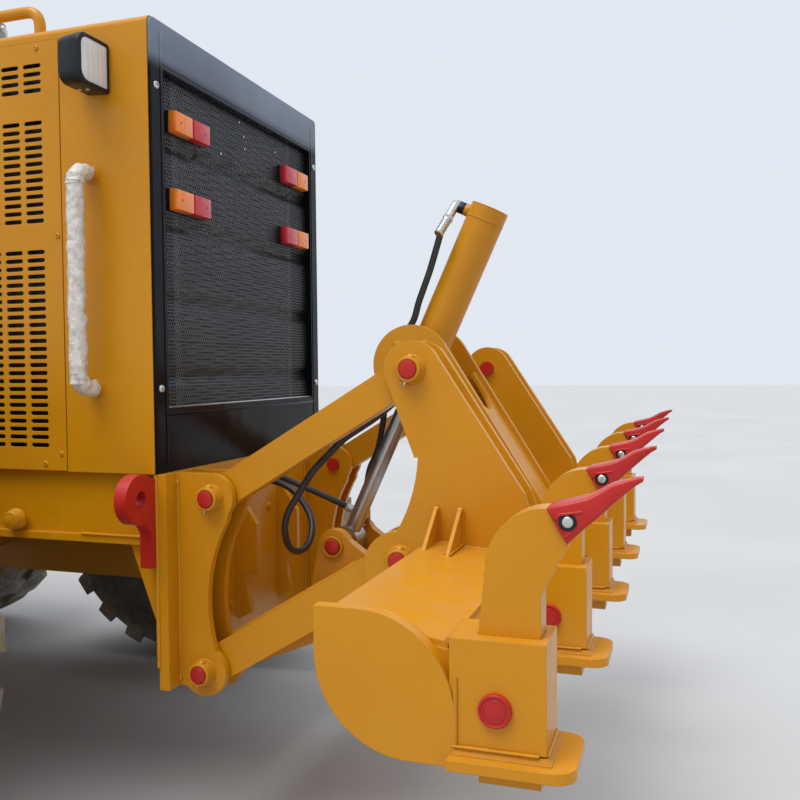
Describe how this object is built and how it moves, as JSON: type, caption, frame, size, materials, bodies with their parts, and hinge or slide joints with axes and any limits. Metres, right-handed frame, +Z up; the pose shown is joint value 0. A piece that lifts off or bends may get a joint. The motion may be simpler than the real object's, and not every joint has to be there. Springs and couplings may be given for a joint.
{
  "type": "motor grader",
  "caption": "Articulated motor grader with tandem drive, hollow cab, turning-circle blade and a stowed parallelogram rear ripper.",
  "frame": {"origin": "on the ground, under the middle of the machine's length and width", "axes": "+X forwards, +Y to the machine's left, +Z up"},
  "size_m": [9.877, 3.66, 3.32],
  "materials": {
    "yellow_paint": "satin ochre yellow",
    "black_paint": "gloss black",
    "black_mesh": "perforated black sheet",
    "red_paint": "gloss red",
    "lamp_lens": "red and amber lens",
    "steel": "worn steel",
    "cast_metal": "as cast",
    "chrome_rod": "hard chrome",
    "clear_glass": "clear",
    "black_fabric": "woven seat cover",
    "black_plastic": "grained",
    "tyre": "worn rubber",
    "rubber_hose": "hydraulic hose"
  },
  "bodies": {
    "chassis": {"rear_frame": "yellow_paint", "engine_block": "cast_metal", "rear_axle": "yellow_paint", "tandem_cases": "yellow_paint", "hood_shell": "yellow_paint", "hood_side_panels": "yellow_paint", "grille_frame": "black_paint", "grille_mesh": "black_mesh", "tail_lamps": "lamp_lens", "work_lamps": "black_paint", "hood_grab_rails": "yellow_paint", "exhaust_stack": "steel", "tow_lugs": "red_paint", "ripper_bracket": "yellow_paint", "bracket_pins": "red_paint", "hitch_pins": "steel", "wall_hoses": "rubber_hose", "cab_frame": "yellow_paint", "cab_glass": "clear_glass", "operator_seat": "black_fabric", "steering_console": "black_plastic", "side_steps": "black_paint"},
    "cab_door_left": {"cab_door_left": "yellow_paint", "door_glass_left": "clear_glass"},
    "cab_door_right": {"cab_door_right": "yellow_paint", "door_glass_right": "clear_glass"},
    "ripper_lower_arm": {"ripper_lower_arm": "yellow_paint"},
    "ripper_upper_arms": {"ripper_upper_arms": "yellow_paint"},
    "ripper_carriage": {"ripper_carriage": "yellow_paint", "carriage_pins": "red_paint", "ripper_shanks": "yellow_paint", "ripper_tips": "red_paint", "cylinder_hose": "rubber_hose"},
    "ripper_barrel": {"ripper_barrel": "yellow_paint"},
    "ripper_rod": {"ripper_rod": "chrome_rod"},
    "front_frame": {"front_frame": "yellow_paint", "front_axle": "yellow_paint"},
    "knuckle_left": {"knuckle_left": "yellow_paint"},
    "knuckle_right": {"knuckle_right": "yellow_paint"},
    "tie_rod": {"tie_rod": "steel"},
    "drawbar": {"drawbar": "yellow_paint"},
    "circle": {"circle_ring": "yellow_paint"},
    "moldboard": {"moldboard": "yellow_paint", "cutting_edges": "steel"},
    "lift_barrel_left": {"lift_barrel_left": "yellow_paint"},
    "lift_barrel_right": {"lift_barrel_right": "yellow_paint"},
    "lift_rod_left": {"lift_rod_left": "chrome_rod"},
    "lift_rod_right": {"lift_rod_right": "chrome_rod"},
    "wheel_rear_left": {"tyre_rear_left": "tyre", "rim_rear_left": "yellow_paint"},
    "wheel_rear_right": {"tyre_rear_right": "tyre", "rim_rear_right": "yellow_paint"},
    "wheel_middle_left": {"tyre_middle_left": "tyre", "rim_middle_left": "yellow_paint"},
    "wheel_middle_right": {"tyre_middle_right": "tyre", "rim_middle_right": "yellow_paint"},
    "wheel_front_left": {"tyre_front_left": "tyre", "rim_front_left": "yellow_paint"},
    "wheel_front_right": {"tyre_front_right": "tyre", "rim_front_right": "yellow_paint"}
  },
  "joints": [
    {"name": "articulation", "type": "hinge", "parent": "chassis", "child": "front_frame", "pos_m": [-0.1815, 0, 0.98], "axis": [0, 0, 1], "range_deg": [-25, 25]},
    {"name": "wheel_rear_left", "type": "hinge", "parent": "chassis", "child": "wheel_rear_left", "pos_m": [-2.8615, 1.0775, 0.675], "axis": [0, 1, 0], "continuous": true},
    {"name": "wheel_middle_left", "type": "hinge", "parent": "chassis", "child": "wheel_middle_left", "pos_m": [-1.3215, 1.0775, 0.675], "axis": [0, 1, 0], "continuous": true},
    {"name": "steer_left", "type": "hinge", "parent": "front_frame", "child": "knuckle_left", "pos_m": [4.1085, 0.79, 0.675], "axis": [0, 0, 1], "range_deg": [-40, 40]},
    {"name": "wheel_front_left", "type": "hinge", "parent": "knuckle_left", "child": "wheel_front_left", "pos_m": [4.1085, 1.0775, 0.675], "axis": [0, 1, 0], "continuous": true},
    {"name": "wheel_rear_right", "type": "hinge", "parent": "chassis", "child": "wheel_rear_right", "pos_m": [-2.8615, -1.0775, 0.675], "axis": [0, 1, 0], "continuous": true},
    {"name": "wheel_middle_right", "type": "hinge", "parent": "chassis", "child": "wheel_middle_right", "pos_m": [-1.3215, -1.0775, 0.675], "axis": [0, 1, 0], "continuous": true},
    {"name": "steer_right", "type": "hinge", "parent": "front_frame", "child": "knuckle_right", "pos_m": [4.1085, -0.79, 0.675], "axis": [0, 0, 1], "range_deg": [-40, 40]},
    {"name": "wheel_front_right", "type": "hinge", "parent": "knuckle_right", "child": "wheel_front_right", "pos_m": [4.1085, -1.0775, 0.675], "axis": [0, 1, 0], "continuous": true},
    {"name": "tie_rod_end", "type": "hinge", "parent": "knuckle_left", "child": "tie_rod", "pos_m": [3.8985, 0.79, 0.527], "axis": [0, 0, 1], "range_deg": [-40, 40]},
    {"name": "blade_lift", "type": "hinge", "parent": "front_frame", "child": "drawbar", "pos_m": [3.6785, 0, 0.93], "axis": [0, 1, 0], "range_deg": [-10, 6]},
    {"name": "circle_turn", "type": "hinge", "parent": "drawbar", "child": "circle", "pos_m": [1.6185, 0, 0.85], "axis": [0, 0, 1], "continuous": true},
    {"name": "blade_side_shift", "type": "slide", "parent": "circle", "child": "moldboard", "axis": [0, 1, 0], "range_m": [-0.3, 0.3]},
    {"name": "lift_trunnion_left", "type": "hinge", "parent": "front_frame", "child": "lift_barrel_left", "pos_m": [1.8185, 0.44, 1.75], "axis": [0, 1, 0], "range_deg": [-5.3, 3.58]},
    {"name": "lift_rod_left", "type": "slide", "parent": "lift_barrel_left", "child": "lift_rod_left", "axis": [-0.2185, 0, -0.9758], "range_m": [-0.228, 0.3667]},
    {"name": "lift_trunnion_right", "type": "hinge", "parent": "front_frame", "child": "lift_barrel_right", "pos_m": [1.8185, -0.44, 1.75], "axis": [0, 1, 0], "range_deg": [-5.3, 3.58]},
    {"name": "lift_rod_right", "type": "slide", "parent": "lift_barrel_right", "child": "lift_rod_right", "axis": [-0.2185, 0, -0.9758], "range_m": [-0.228, 0.3667]},
    {"name": "ripper_lift", "type": "hinge", "parent": "chassis", "child": "ripper_lower_arm", "pos_m": [-3.7835, 0, 0.492], "axis": [0, 1, 0], "range_deg": [-56, 4], "deforming": ["wall_hoses"]},
    {"name": "ripper_upper_link", "type": "hinge", "parent": "chassis", "child": "ripper_upper_arms", "pos_m": [-3.8135, 0, 0.956], "axis": [0, 1, 0], "range_deg": [-57, 5]},
    {"name": "ripper_carriage_pin", "type": "hinge", "parent": "ripper_lower_arm", "child": "ripper_carriage", "pos_m": [-4.33637, 0, 0.8242], "axis": [0, 1, 0], "range_deg": [-5, 57], "deforming": ["cylinder_hose"]},
    {"name": "ripper_trunnion", "type": "hinge", "parent": "ripper_carriage", "child": "ripper_barrel", "pos_m": [-4.25537, 0, 1.3012], "axis": [0, 1, 0], "range_deg": [-8.55, 1.54]},
    {"name": "ripper_rod", "type": "slide", "parent": "ripper_barrel", "child": "ripper_rod", "axis": [0.4172, 0, -0.9088], "range_m": [-0.3226, 0.0416]},
    {"name": "cab_door_left", "type": "hinge", "parent": "chassis", "child": "cab_door_left", "pos_m": [-0.7255, 0.714, 2.2], "axis": [0, 0, 1], "range_deg": [0, 80]},
    {"name": "cab_door_right", "type": "hinge", "parent": "chassis", "child": "cab_door_right", "pos_m": [-0.7255, -0.714, 2.2], "axis": [0, 0, -1], "range_deg": [0, 80]}
  ],
  "couplings": [
    {"joint": "steer_right", "follows": "steer_left", "ratio": 1},
    {"joint": "tie_rod_end", "follows": "steer_left", "ratio": -1},
    {"joint": "lift_trunnion_left", "follows": "blade_lift", "ratio": 0.4297},
    {"joint": "lift_rod_left", "follows": "blade_lift", "m_per_rad": -1.9863},
    {"joint": "lift_trunnion_right", "follows": "blade_lift", "ratio": 0.4297},
    {"joint": "lift_rod_right", "follows": "blade_lift", "m_per_rad": -1.9863},
    {"joint": "ripper_upper_link", "follows": "ripper_lift", "ratio": 1},
    {"joint": "ripper_carriage_pin", "follows": "ripper_lift", "ratio": -1},
    {"joint": "ripper_trunnion", "follows": "ripper_lift", "ratio": 0.1348},
    {"joint": "ripper_rod", "follows": "ripper_lift", "m_per_rad": 0.30963}
  ]
}
